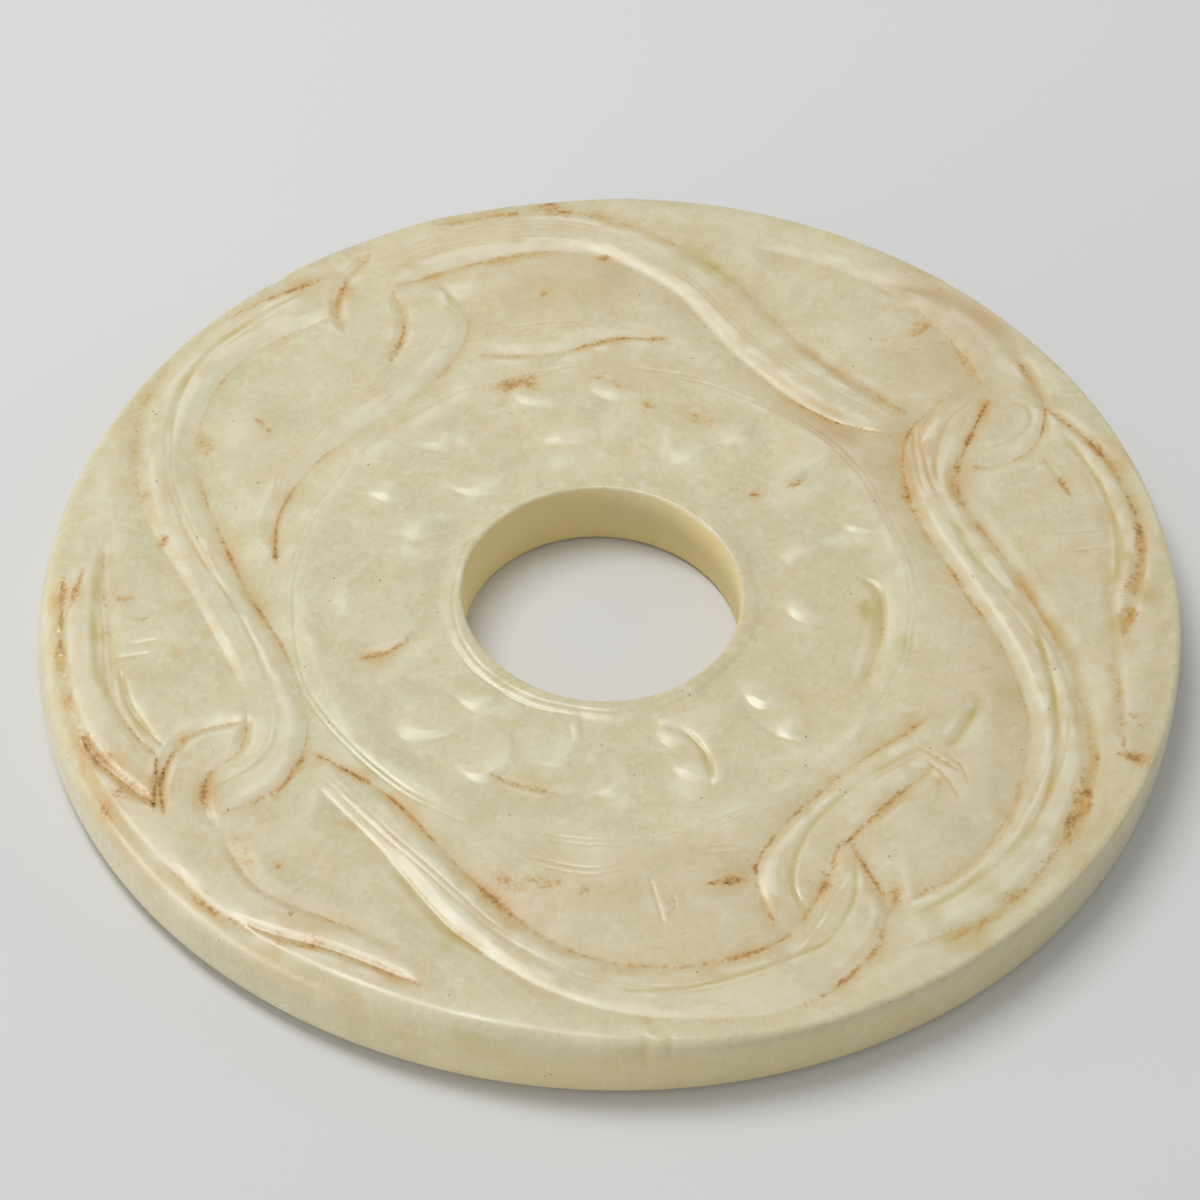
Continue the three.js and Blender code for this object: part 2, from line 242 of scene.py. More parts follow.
# Fine pairs of lines scratched along the ribbons: spacing of the pair (mm) and the points
linePairs = {
    "depth": 0.03,
    "width": 0.06,
    "reach": 2.0,
    "fade": 1.2,
    "tint": 0.35,  # how strongly the ribbon is tinted on both sides of them
    "dust": 0.45,  # how much ochre dust lies between the two lines
    "dustWidth": 0.8,  # share of the spacing
    "lines": [
        (0.32, [(-12.4, 22.4), (-8, 24.9), (-1.5, 25.5), (3.7, 22), (8.3, 16), (12.5, 12.7), (15, 11.1)]),
        (0.3, [(-11.5, 14.2), (-14.3, 11.2), (-16.4, 8), (-16.9, 4.7)]),
        (0.3, [(-6.8, 17.3), (-2.7, 17.9), (1.2, 17.9)]),
        (0.34, [(-16.7, 19.9), (-21.9, 14.2), (-22.3, 7.5), (-19.7, 0.7), (-16.5, -6.3), (-16.3, -10.2),
                (-18.8, -13)]),
        (0.34, [(-13.7, -11.8), (-8.7, -17.3), (-4.2, -21.7), (2, -24.3), (8, -22.7), (11.2, -18)]),
        (0.4, [(15, -10.7), (11.7, -12.8), (9, -15.7), (8.4, -18.5), (8.9, -20.2)]),
        (0.36, [(-4.5, -16.8), (-0.7, -17.7), (2.7, -16.7), (6.8, -16.3)]),
        (0.7, [(17.2, 4.7), (19.2, 0.3), (21.8, -6), (21.2, -11.5), (17.5, -18), (13.3, -20.7)]),
        (0.3, [(23.9, 9), (25.3, 4.5), (25.2, 0.5)]),
        (0.35, [(-25.4, 2.6), (-24.7, -2.5), (-23.8, -7.7), (-21.9, -11)]),
        (0.3, [(-17.9, -9.4), (-19.6, -10.2), (-20.4, -11.6), (-20.3, -13.6)]),
        (0.4, [(-17.7, -21.3), (-14.8, -23.5), (-12.4, -24.8)]),
        (0.3, [(-12.2, 21.2), (-9.6, 23.4), (-5, 24.4), (-1, 24.5)]),
        (0.3, [(16.3, 11.4), (16.2, 7), (18.2, 2), (19.6, -0.8)]),
    ],
}

# Shallow flutes along the ribbons, stained along the bottom and pale on both banks:
# strength of the stain, half width and depth (mm), points
flutes = {
    "wash": [
        (0.75, 0.38, 0.03, [(9.6, 16.9), (11, 15.2), (12.4, 13.8), (14, 12.4), (15.5, 11.3)]),
        (0.7, 0.5, 0.045, [(13.6, 20.9), (15.8, 20.4), (17.7, 19.8), (19.2, 18.7), (20.5, 17.3), (21.4, 15.6),
         (22.2, 13.6), (22.6, 11.5)]),
        (0.5, 0.15, 0.045, [(20.3, 12.5), (21.7, 11.7), (21.7, 10.5), (20.7, 9.5), (19.3, 8.9), (18.2, 8.7)]),
        (0.4, 0.12, 0.038, [(20.6, 11.5), (20.9, 10.7), (20.2, 9.9), (19.1, 9.4)]),
    ],
    "ochre": [
        (0.8, 0.32, 0.03, [(24, 9.8), (25.7, 7.8), (26.5, 5.8), (26.8, 4), (26.7, 2), (26.3, 0.3), (25.8, -1.2),
         (25.3, -3.3)]),
        (0.75, 0.38, 0.03, [(17.6, 7), (17.8, 5.5), (19.3, 2.2), (20.7, -0.8), (22.2, -4.2), (22.8, -8), (22.8, -11),
         (21.8, -14.8), (19.7, -18.2), (16.7, -20.8)]),
        (0.4, 0.1, 0.038, [(15.9, 11.4), (15.7, 9.5), (15.85, 7), (16.3, 5)]),
        (0.4, 0.1, 0.038, [(16.6, 11.4), (16.1, 9.5), (16.3, 7), (16.9, 4.8)]),
        (0.4, 0.12, 0.045, [(19.3, 12.5), (17.8, 11.2), (17.1, 9.7), (16.7, 8), (16.8, 6.2)]),
        (0.6, 0.14, 0.045, [(-21.8, 6), (-21.5, 4.3), (-20, 1.2), (-18.7, -1), (-17.3, -4), (-16.4, -6.5)]),
        (0.9, 0.32, 0.03, [(-27.4, 0.5), (-27.2, -2), (-26.9, -4), (-26.4, -6.8), (-25.6, -9), (-24.6, -10.7),
         (-22.9, -12.7), (-21.3, -13.8)]),
        (0.9, 0.28, 0.045, [(-26.3, -8.3), (-25.5, -10.3), (-24.6, -11.7), (-23.8, -13.3)]),
        (0.8, 0.28, 0.03, [(-20.2, -18), (-19, -19.3), (-17.7, -20.2), (-16.2, -20.8), (-14.3, -21.7), (-12.7, -22),
         (-11, -22.8), (-9, -23.8)]),
    ],
    "green": [
        (0.6, 0.2, 0.045, [(23.3, 10), (24.3, 8.2), (25, 6.5), (25.4, 4.8), (25.6, 2.8), (25.4, 0.7), (25, -0.7)]),
        (0.75, 0.22, 0.053, [(17.2, 4.7), (18.3, 1.5), (19.8, -0.8), (20.9, -3), (21.4, -6.3), (21.5, -9),
         (21.2, -11.5), (19.7, -15.3), (17, -18.3), (13.7, -20.5)]),
        (0.65, 0.25, 0.06, [(17.4, -6.7), (17.7, -7.7), (17.3, -8.7), (16.8, -9.5), (16, -11)]),
        (0.55, 0.14, 0.045, [(15.7, -10), (12.5, -12), (10.3, -14), (9.3, -15.3), (8.7, -16.7), (8.4, -18.2),
         (9, -20.3)]),
        (0.55, 0.14, 0.045, [(11.2, -16.7), (11.4, -17.8), (11.3, -19), (10.8, -20.3), (9.8, -21.7), (8.3, -22.5),
         (6.7, -23.2), (3, -24.2), (0, -24.3)]),
        (0.9, 0.32, 0.045, [(12.4, 0.6), (13.3, -0.3), (13.5, -1.8), (13.3, -3.3), (12.8, -5.2), (12.2, -7)]),
        (0.5, 0.16, 0.045, [(-15.7, 20.7), (-18.3, 18.8), (-21, 16), (-22.2, 13), (-22.6, 10)]),
        (0.6, 0.25, 0.053, [(-25.5, 2), (-25.4, 0), (-25.2, -3), (-24.8, -5.5), (-23.8, -8)]),
        (0.7, 0.22, 0.06, [(-23.8, -5.3), (-23.3, -7.3), (-22.5, -8.7), (-21.8, -9.7)]),
        (0.7, 0.28, 0.045, [(-11, -16.3), (-10.3, -17.2), (-9.3, -18.5), (-8.3, -19.8), (-7.3, -21), (-6.2, -21.8),
         (-5.2, -22.8)]),
        (0.4, 0.12, 0.045, [(-16, -8.5), (-16, -10), (-16.8, -11.2), (-18.3, -12.3), (-18.8, -13)]),
        (0.4, 0.2, 0.045, [(-9.3, 21.2), (-8.4, 20.2), (-8, 18.8)]),
        (0.5, 0.2, 0.045, [(3, -8.7), (4.3, -10.2), (4.8, -11.7), (4.7, -13)]),
    ],
}

# Short hatches and one leaf between the ribbons: ground side, rust, points and, for the leaf, how pale its facet is
# (matt, with a painted highlight)
hatches = {
    "leaf": [(-1, (0.7, 0.4, 0.2, 0.8, 0.7, 0.3), [(-7, 15.7), (-2.7, 15.8), (0.5, 16.9), (3.4, 16.8)],
              (1, 1, 1, 0.8, 0.7, 0.6))],
    "hatch": [
        (1, (0.1,), [(15, 19.2), (13.5, 17.7)]), (1, (0.1,), [(15.7, 18.2), (13.7, 16.3)]),
        (1, (0.1,), [(16.4, 17.9), (14.2, 15.6)]), (1, (0,), [(-13.5, -17.4), (-14.8, -18.8)]),
        (-1, (0,), [(-24.3, -4.7), (-22.2, -4.3)]), (1, (0,), [(-23.8, -3.9), (-21.9, -3.5)]),
        (1, (0.8,), [(4.2, -18.5), (6.8, -18)]), (1, (0.9,), [(3, -19), (2.9, -20.2)]),
        (1, (0.1,), [(1.8, -18), (2.5, -21)]), (1, (0,), [(22.3, 3), (25.2, 3.3)]),
        (1, (0.3,), [(22.8, 1.8), (25.2, 2.2)]), (-1, (0.7, 0.5), [(22.2, 8.3), (22.9, 6.8), (23.5, 5.4)]),
        (1, (0.9,), [(-21.6, -10.7), (-21.5, -14)]), (-1, (0.4, 0.4), [(-23.8, -5.3), (-23.1, -7.8), (-21.2, -10.3)]),
        (1, (0.5,), [(-26.1, 1.3), (-26.5, -0.8), (-27, -2.5)]),
        (1, (0.2,), [(15.9, -10.8), (16.7, -11.7), (17, -12.9)]),
        (1, (0.2,), [(15, -11.3), (15.9, -12.3), (16.6, -13.9)]), (-1, (0.3,), [(14.6, -10.3), (16.9, -12.2)]),
        (1, (0.5,), [(-18.2, 11.4), (-17.3, 10.2)]),
    ],
}

# The sunk ring round the hole, with its worn scales and scooped cuts
sunkRing = {
    "inner": 7.2, "innerSlope": 1.0,
    "outer": 15.4, "outerSlope": 2.4,
    "depth": 0.14,
    "lineDepth": 0.036, "lineWidth": 0.08, "lineRadii": (7.4, 7.85, 15.2, 15.5),
    "waver": 0.07,  # how far the ring runs out of true
    "scaleHeight": 0.13,
    "scaleDrop": 0.6,
    "scaleWarp": 0.3,
    # in radii of the scale: bow of its front, length of its rise and half width; then how the rise curves
    "scaleBow": 0.5,
    "scaleLength": 1.7,
    "scaleSide": 0.8,
    "scaleCurve": 1.3,
    # angle, distance, radius of each scale and the way its steep side faces (degrees)
    "scales": [
        (88, 12.3, 1.5, 250), (110, 13, 1.4, 240), (131, 13, 1.5, 300), (152, 12.7, 1.4, 270), (184, 12.6, 1.4, 330),
        (226, 12.9, 1.6, 260), (244, 12.5, 1.5, 300), (271, 12.7, 1.4, 320), (288, 12.9, 1.4, 250),
        (310, 12.8, 1.5, 250),
        (15, 13, 1.5, 260), (38, 13.1, 1.5, 330), (56, 12.2, 1.4, 320),
        (12, 9.5, 1.3, 260), (70, 9.7, 1.3, 250), (101, 9.7, 1.4, 290), (136, 9.7, 1.4, 280), (161, 9.7, 1.4, 290),
        (198, 10.4, 1.5, 310), (233, 9.6, 1.3, 280), (258, 10, 1.4, 320), (286, 10, 1.4, 230), (315, 9.8, 1.3, 240),
        (347, 9.6, 1.3, 260),
    ],
    # ground side, rust, points
    "scoops": [
        (1, (0, 0.6, 0.9, 0.2, 0), [(-12.8, -4.9), (-11.2, -4.4), (-10.2, -3.8), (-9.2, -2.8)]),
        (-1, (0.2, 0.3, 0.1), [(12.3, 0.5), (13.3, -0.4), (13.5, -2.5), (13, -5), (12, -7)]),
        (1, (0.8, 0.6, 0.1), [(-5.8, -11.9), (-3.5, -12.8), (-1.5, -13.2)]),
        (-1, (0, 0.2, 0.1), [(2.2, -8.9), (3.8, -9.6), (4.7, -11), (4.8, -13)]),
        (1, (0.5, 0.6, 0.1), [(7.1, 5.8), (8.8, 6.2), (10.6, 7.4)]),
        (-1, (0.1, 0.1), [(1, 12.7), (0.2, 11), (-0.5, 9.5)]),
        (1, (0.1, 0.5), [(-5, 12.2), (-4.9, 11), (-4.4, 10)]),
        (-1, (0, 0), [(-2, -8.7), (-1.8, -10), (-2.4, -10.9)]),
        (1, (0, 0), [(6.4, -6.9), (6.8, -8.4), (8, -9.6), (9.4, -10.2)]),
    ],
}

# Stains, and pale facets with a painted highlight, that lie outside the cuts: place, half length and half width (mm),
# angle, strength
dabs = {
    "wash": [
        (19.2, 18.4, 4.8, 1.8, 130, 0.95), (16.4, 9.3, 3.8, 2.8, 60, 1.0), (12, 9.4, 4.5, 1.2, 135, 0.9),
        (18, 13.5, 4.5, 3.2, 120, 0.55), (13.6, 6, 2.2, 1.5, 110, 0.5), (-9, 11.5, 4, 1.6, 135, 0.25),
        (3, 14.5, 6, 1.2, 170, 0.3), (-2, -19.5, 4.5, 1.6, 165, 0.25), (0, 21.5, 12, 5, 0, 0.28),
        (21, -8, 12, 7, 75, 0.3), (4, -20.5, 12, 6, 5, 0.2), (-16, -18, 9, 4, 140, 0.22), (8, -4, 8, 7, 90, 0.14),
        (-23.6, -14.8, 5, 2, 122, 0.4),
    ],
    "green": [
        (-6, -26.8, 1.2, 0.5, 170, 0.9), (1.4, -26, 1.2, 0.5, 90, 0.6), (-1, 19, 0.9, 0.4, 110, 0.6),
        (5.6, 22.3, 1.4, 0.6, 130, 0.7), (3.1, 26.6, 0.4, 0.3, 0, 0.6), (12.9, -1.5, 2.2, 0.5, 95, 0.8),
        (14.3, -4, 0.7, 0.45, 120, 1.0), (-23.4, -7.5, 2.6, 0.4, 110, 0.6), (-8.3, -20, 2.2, 0.5, 130, 0.6),
        (22.6, -9, 5, 0.45, 95, 0.6), (16.5, -21.2, 3.5, 0.5, 35, 0.5), (25.9, 6.5, 2.5, 0.35, 105, 0.4),
        (17.8, -19.4, 3.5, 0.7, 40, 0.7), (25.9, -1, 2.6, 0.6, 80, 1.0), (22.2, -13.7, 2.6, 0.7, 72, 1.0),
    ],
    "ochre": [
        (-21.2, -4.2, 0.5, 0.3, 90, 0.7), (-21, -1, 0.4, 0.3, 0, 0.6), (-19.3, -2.7, 0.5, 0.35, 100, 0.6),
        (-12.3, -14.8, 0.4, 0.3, 0, 0.7), (-23.7, -13.5, 1.3, 0.35, 125, 0.9), (24.3, -5.9, 0.4, 0.35, 90, 0.8),
        (19.8, -11.2, 0.4, 0.35, 90, 0.8), (18, -15.9, 0.5, 0.25, 30, 0.9), (15.7, -18.3, 0.7, 0.3, 35, 0.9),
        (24.6, 0.1, 1.3, 0.3, 90, 0.8), (23.6, 1.9, 0.7, 0.2, 10, 0.9), (22.7, -9.5, 2.2, 0.5, 90, 0.8),
        (21.9, -14.8, 1.8, 0.5, 60, 0.9), (18.5, -19.6, 1.6, 0.5, 40, 0.8), (19, -13.8, 1.7, 0.28, 65, 1.0),
        (-2.5, 20.6, 4.5, 1.5, 5, 0.35), (-23.8, -12.2, 2.2, 0.5, 125, 0.9), (-10.6, -23.3, 1.8, 0.4, 155, 0.7),
        (-9, 14.4, 1.2, 0.5, 60, 0.3), (-4.5, -20.2, 1.2, 0.6, 130, 0.6), (10.7, 11.9, 3, 0.7, 140, 0.6),
        (1.4, -26.3, 1.3, 0.3, 85, 0.7), (25.9, -1, 2.2, 0.7, 78, 0.9), (22.2, -13.6, 2.6, 0.7, 72, 0.9),
        (-4.1, -22.1, 2.5, 0.6, 140, 0.35),
    ],
    "rust": [
        (-20.7, 9.7, 0.55, 0.4, 90, 0.7), (-23.6, 5.7, 0.4, 0.25, 60, 0.6), (-22.5, 2.8, 0.45, 0.3, 110, 0.9),
        (-24, -0.8, 0.3, 0.25, 0, 0.6), (-23.1, -2, 0.8, 0.15, 0, 0.5), (-17.5, -16.3, 0.6, 0.3, 130, 0.9),
        (-15.4, -17.4, 0.3, 0.2, 140, 0.6), (-11.8, -24.7, 0.4, 0.25, 150, 0.9), (-14.8, -19.7, 0.4, 0.25, 140, 0.5),
        (-3, -18.4, 2.4, 0.5, 170, 0.35), (25.3, -8.8, 0.3, 0.25, 0, 0.8), (24.8, -11, 0.35, 0.3, 0, 1.0),
        (16.8, -21, 1.4, 0.25, 35, 0.7), (16.4, 17.4, 0.55, 0.4, 60, 0.6), (-3.5, 26.7, 2.8, 0.35, 170, 0.5),
        (-0.3, 23, 0.35, 0.25, 0, 0.9), (-3.5, 20.3, 0.3, 0.2, 80, 0.6), (-4.9, 13.6, 1.2, 0.45, 15, 0.5),
        (-0.3, 13.7, 1.0, 0.3, 0, 0.4), (4.7, 11.5, 0.7, 0.3, 160, 0.7), (1.8, 12.3, 0.5, 0.3, 160, 0.5),
        (15.9, -12.4, 0.22, 0.2, 0, 1.0), (19, -13.7, 1.3, 0.16, 65, 0.5), (-4.7, -17.8, 0.4, 0.35, 0, 0.6),
        (-2.6, -18.5, 0.6, 0.3, 0, 0.6), (-1.2, -18.7, 0.35, 0.3, 0, 0.5), (-23.6, -13.5, 0.5, 0.4, 125, 0.8),
        (-25.2, -9.6, 1.3, 0.3, 118, 0.9), (-23.8, -11.6, 1.3, 0.3, 130, 0.9), (22.4, -13.2, 2.0, 0.24, 76, 1.5),
        (21.4, -15.4, 1.4, 0.22, 60, 1.3), (12.9, -20, 1.1, 0.3, 65, 0.9), (10, -18, 1.0, 0.28, 75, 0.8),
        (15.35, 5, 1.0, 0.2, 95, 0.7), (25.8, -1.3, 1.7, 0.45, 80, 1.7),
    ],
    # facets left matt and pale, the paleness also a painted highlight
    "pale": [
        (10.4, 12.8, 1.7, 0.4, 141, 0.6), (-15.5, -20.3, 2.4, 0.35, 152, 0.5), (-17.2, -12.9, 1.1, 0.35, 20, 0.9),
        (-20.3, -0.3, 5, 0.5, 117, 0.4), (4.5, -19, 2.2, 1.5, 10, 0.35), (0.5, -14.6, 6.08, 0.41, 0, 0.5),
        (-4.6, 12.3, 1.22, 0.47, 5, 1.0), (-4.9, 11.3, 0.94, 0.34, 80, 0.8), (-8.2, 9.7, 1.08, 0.68, 145, 0.9),
        (-11.1, 6, 0.68, 0.54, 0, 0.9), (-10, 2.1, 0.94, 0.47, 170, 0.9), (-6.7, 6.2, 1.22, 0.47, 60, 0.8),
        (-12.8, -1, 0.68, 0.54, 30, 0.7), (-9.4, -3.9, 1.62, 0.34, 55, 0.9), (0.2, 11.3, 2.16, 0.47, 75, 0.8),
        (-2.2, 8.3, 0.94, 0.68, 0, 0.8), (3.2, 8.6, 1.08, 0.54, 120, 0.9), (6.9, 9.7, 0.81, 0.54, 110, 0.6),
        (9.9, 7.6, 1.22, 0.54, 70, 0.9), (9.3, 6, 2.03, 0.47, 25, 0.8), (12, 3, 1.49, 0.47, 15, 0.9),
        (14, 1.7, 0.94, 0.68, 100, 0.7), (9.3, -2.8, 0.81, 0.47, 20, 0.4), (6.8, -6.8, 0.68, 0.54, 0, 0.6),
        (8.6, -10.6, 1.35, 0.47, 20, 0.7), (4, -12.7, 1.22, 0.47, 75, 0.9), (3, -9.6, 0.81, 0.47, 0, 0.7),
        (0.3, -12.7, 1.22, 0.41, 80, 0.8), (-2.2, -10.2, 0.68, 0.47, 40, 0.9), (-5.5, -7.9, 0.81, 0.61, 20, 0.7),
        (-9.4, -9.3, 1.08, 0.61, 110, 0.8), (-22, 7.1, 3.5, 0.5, 92, 0.5),
    ],
}


def sample(values, x, y):
    # a map read between its cells
    u = np.clip((x - axis[0]) / mapGrid["cell"], 0, len(axis) - 1.001)
    v = np.clip((y - axis[0]) / mapGrid["cell"], 0, len(axis) - 1.001)
    i, j = u.astype(int), v.astype(int)
    a, b = u - i, v - j
    return ((values[j, i] * (1 - a) + values[j, i + 1] * a) * (1 - b)
            + (values[j + 1, i] * (1 - a) + values[j + 1, i + 1] * a) * b)


def markOver(kind, window, values):
    stainsAndHighlights[kind][window] = np.maximum(stainsAndHighlights[kind][window], values)


grinding = {
    "kinds": ("ribbon", "gentle", "blade", "soft"),
    "depth": 0.014,
    "reach": 2.0,  # how far in from the cut the marks go
    "softEdge": 0.15,
    "pale": 0.5,
    "paleFrom": 0.1,
    "paleRise": 0.6,
    "across": 4.0,  # how the even grain is squeezed across the cut and drawn out along it
    "along": 0.25,
    "start": (0.5, 0.4, -8),  # each cut reads the grain from another place
    "grain": grit(0.8),
}


def grind(window, inside, along, ends, start):
    # marks left along the ribbon by the grinding, a fifth of a millimetre wide and a few long
    shareX, shareY, back = grinding["start"]
    marks = sample(grinding["grain"], grinding["across"] * inside + shareX * start[0],
                   grinding["along"] * along + back + shareY * start[1])
    reach = grinding["reach"]
    band = smooth(0, grinding["softEdge"], inside) * (1 - smooth(0.5 * reach, reach, inside)) * ends
    height[window] -= grinding["depth"] * marks * band
    bright = np.clip(grinding["paleRise"] * marks - grinding["paleFrom"], 0, 1)
    markOver("pale", window, grinding["pale"] * bright * band)


carving = {
    "leastReach": 1.2,
    "runIn": 0.1,
    "endWidth": 0.12,  # share of its width that a cut keeps at its very end
    "stainEnd": (-0.2, 0.4),
    "halo": 4,  # the ochre round the rust, in widths of the rust
    "paleFacetEdge": 0.25,
    "paleFacetSide": (0.05, 0.3),
}


def carve(kind, ground, rust, points, scuffAndHighlight=(), addTo=False):
    deepest, ribbonRun, groundRun, ribbonCurve, groundCurve, fade, rustWidth = cuts[kind]
    least = grinding["reach"] if kind in grinding["kinds"] else carving["leastReach"]
    window, across, along, length = measure(points, max(ribbonRun, groundRun, least))
    fromEnd = np.minimum(along, length - along)
    ends = smooth(-carving["runIn"], min(fade, length / 3), fromEnd)
    onGround = across * ground > 0
    narrowing = carving["endWidth"] + (1 - carving["endWidth"]) * ends
    slope = np.clip(1 - np.abs(across) / (np.where(onGround, groundRun, ribbonRun) * narrowing), 0, 1)
    depth = deepest * ends * slope ** np.where(onGround, groundCurve, ribbonCurve)
    if addTo:
        height[window] -= depth
    else:
        height[window] = np.minimum(height[window], -depth)
    share = along / length
    strength = np.interp(share, np.linspace(0, 1, len(rust)), rust) * smooth(*carving["stainEnd"], fromEnd)
    width = rustWidth * raggedEdge[window]
    markOver("rust", window, np.exp(-(across / width) ** 2) * strength)
    markOver("ochre", window, np.exp(-(across / (carving["halo"] * width)) ** 2) * strength)
    if kind in grinding["kinds"]:
        grind(window, -across * ground, along, ends, points[0])
    # pale facet beside the cut: a matt scuff and a painted highlight
    if scuffAndHighlight:
        facetPale = np.interp(share, np.linspace(0, 1, len(scuffAndHighlight)), scuffAndHighlight) * ends
        facet = smooth(0, carving["paleFacetEdge"], slope) * smooth(*carving["paleFacetSide"], -across * ground)
        markOver("pale", window, facetPale * facet)


def carveLinePair(broken, spacing, points):
    window, across, along, length = measure(points, linePairs["reach"])
    ends = smooth(0, linePairs["fade"], np.minimum(along, length - along)) * broken[window]
    for side in (-0.5, 0.5):
        groove = np.exp(-((across - side * spacing) / linePairs["width"]) ** 2)
        height[window] -= linePairs["depth"] * ends * groove
    dust = linePairs["dust"] * np.exp(-(across / (linePairs["dustWidth"] * spacing)) ** 2)
    markOver("ochre", window, np.maximum(dust, linePairs["tint"] * np.exp(-across ** 2)) * ends)


# widths in half widths of the flute, the fade in millimetres
fluteSection = {"fade": 1.5, "stainWidth": 1.1, "bankAt": 1.9, "bankWidth": 0.7, "bankPale": 0.6}


def carveFlute(kind, strength, width, depth, points):
    window, across, along, length = measure(points, 4 * width + 0.3)
    ends = smooth(0, fluteSection["fade"], np.minimum(along, length - along))
    height[window] -= depth * ends * np.exp(-(across / width) ** 2)
    tintWidth = fluteSection["stainWidth"] * width * raggedEdge[window]
    markOver(kind, window, strength * ends * np.exp(-(across / tintWidth) ** 2))
    fromBank = (np.abs(across) - fluteSection["bankAt"] * width) / (fluteSection["bankWidth"] * width)
    markOver("pale", window, fluteSection["bankPale"] * ends * np.exp(-fromBank ** 2))


def raiseScale(scales, warpX, warpY, degrees, distance, radius, steep):
    # a low worn scale: rises slowly, then drops off short on the side it faces
    angle, facing = math.radians(degrees), math.radians(steep)
    x = mapX + warpX - distance * math.cos(angle)
    y = mapY + warpY - distance * math.sin(angle)
    towards = x * math.cos(facing) + y * math.sin(facing)
    beside = -x * math.sin(facing) + y * math.cos(facing)
    towards = towards + sunkRing["scaleBow"] * beside ** 2 / radius
    rise = np.clip(1 + towards / (sunkRing["scaleLength"] * radius), 0, 1) ** sunkRing["scaleCurve"]
    drop = np.clip(1 - towards / sunkRing["scaleDrop"], 0, 1)
    sides = np.exp(-(beside / (sunkRing["scaleSide"] * radius)) ** 2)
    np.maximum(scales, sunkRing["scaleHeight"] * rise * drop * sides, out=scales)


# How the carved face was worn and stained, and where a highlight is painted on it, sizes in millimetres
wearAndHighlight = {
    "softening": 0.04,
    "waves": ((0.025, 1.6), (0.006, 0.5)),  # height and grain
    "rimDrop": 0.12,
    "rimFrom": 25.5,
    "rag": 0.2,  # how ragged the stains' edges are
    "ragGrain": 0.35,
    "rustHalo": 2.5,
    "arris": 0.025,  # how proud an arris is where it is fully scuffed
    # crests are painted paler the higher they stand: wear and a painted highlight
    "crest": 0.2,
    "lipClear": (7.8, 8.8),  # no scuffs and no painted highlight nearer the hole than this
    "fleckRing": (7.4, 0.3),
    "fleckPale": 0.6,
    "nearTilt": (0.9, -0.4),  # which way the facets with a painted highlight fall: away and sideways
    "nearSlope": (0.04, 0.16),
}

for stroke in strokes:
    carve(*stroke)
print("strokes cut", len(strokes))

# the sunk ring, with its own scales and scoops
holeDistance = np.hypot(mapX - disc["holeCentre"][0], mapY - disc["holeCentre"][1])
holeDistance += sunkRing["waver"] * grit(1.2)
sunkFloor = (smooth(sunkRing["inner"], sunkRing["inner"] + sunkRing["innerSlope"], holeDistance)
             * (1 - smooth(sunkRing["outer"] - sunkRing["outerSlope"], sunkRing["outer"], holeDistance)))
scales = np.zeros_like(mapX)
warpX, warpY = (sunkRing["scaleWarp"] * grit(0.8) for way in "xy")
for scale in sunkRing["scales"]:
    raiseScale(scales, warpX, warpY, *scale)
height = np.minimum(height, -sunkRing["depth"] * sunkFloor) + scales * sunkFloor
for scoop in sunkRing["scoops"]:
    carve("scoop", *scoop, addTo=True)
for radius in sunkRing["lineRadii"]:
    groove = np.exp(-((holeDistance - radius) / sunkRing["lineWidth"]) ** 2)
    height -= sunkRing["lineDepth"] * smooth(-1.2, 0.6, grit(1.5)) * groove
print("sunk ring done")

broken = 0.3 + 0.7 * smooth(-1.2, 0.8, grit(1.1))
for pair in linePairs["lines"]:
    carveLinePair(broken, *pair)
for kind, group in flutes.items():
    for flute in group:
        carveFlute(kind, *flute)
for kind, group in hatches.items():
    for hatch in group:
        carve(kind, *hatch, addTo=True)

# worn and polished by hand: soft cuts and a faint wave over all
height = blurred(height, wearAndHighlight["softening"])
for rise, grain in wearAndHighlight["waves"]:
    height += rise * grit(grain)
height -= wearAndHighlight["rimDrop"] * smooth(wearAndHighlight["rimFrom"], disc["radius"], np.hypot(mapX, mapY)) ** 2

ragX, ragY = (wearAndHighlight["rag"] * grit(wearAndHighlight["ragGrain"]) for way in "xy")
for kind, group in dabs.items():
    for placeX, placeY, halfLength, halfWidth, degrees, strength in group:
        turn = math.radians(degrees)
        x, y = mapX + ragX - placeX, mapY + ragY - placeY
        u = (x * math.cos(turn) + y * math.sin(turn)) / halfLength
        v = (-x * math.sin(turn) + y * math.cos(turn)) / halfWidth
        away = u * u + v * v
        stainsAndHighlights[kind] = np.maximum(stainsAndHighlights[kind], strength * np.exp(-away))
        if kind == "rust":
            stainsAndHighlights["ochre"] = np.maximum(stainsAndHighlights["ochre"], strength * np.exp(-away / wearAndHighlight["rustHalo"]))
fine, coarse = grit(0.14), grit(0.5)
patchy = 0.45 + 0.55 * smooth(-0.9, 0.7, grit(1.0))
uneven = {
    "rust": patchy * (0.85 + 0.3 * fine + 0.3 * coarse),
    "ochre": 0.8 + 0.3 * coarse,
    "green": 0.8 + 0.35 * coarse,
    "wash": 0.85 + 0.2 * grit(1.0),
}
for kind, share in uneven.items():
    stainsAndHighlights[kind] = np.clip(stainsAndHighlights[kind] * share, 0, 1)

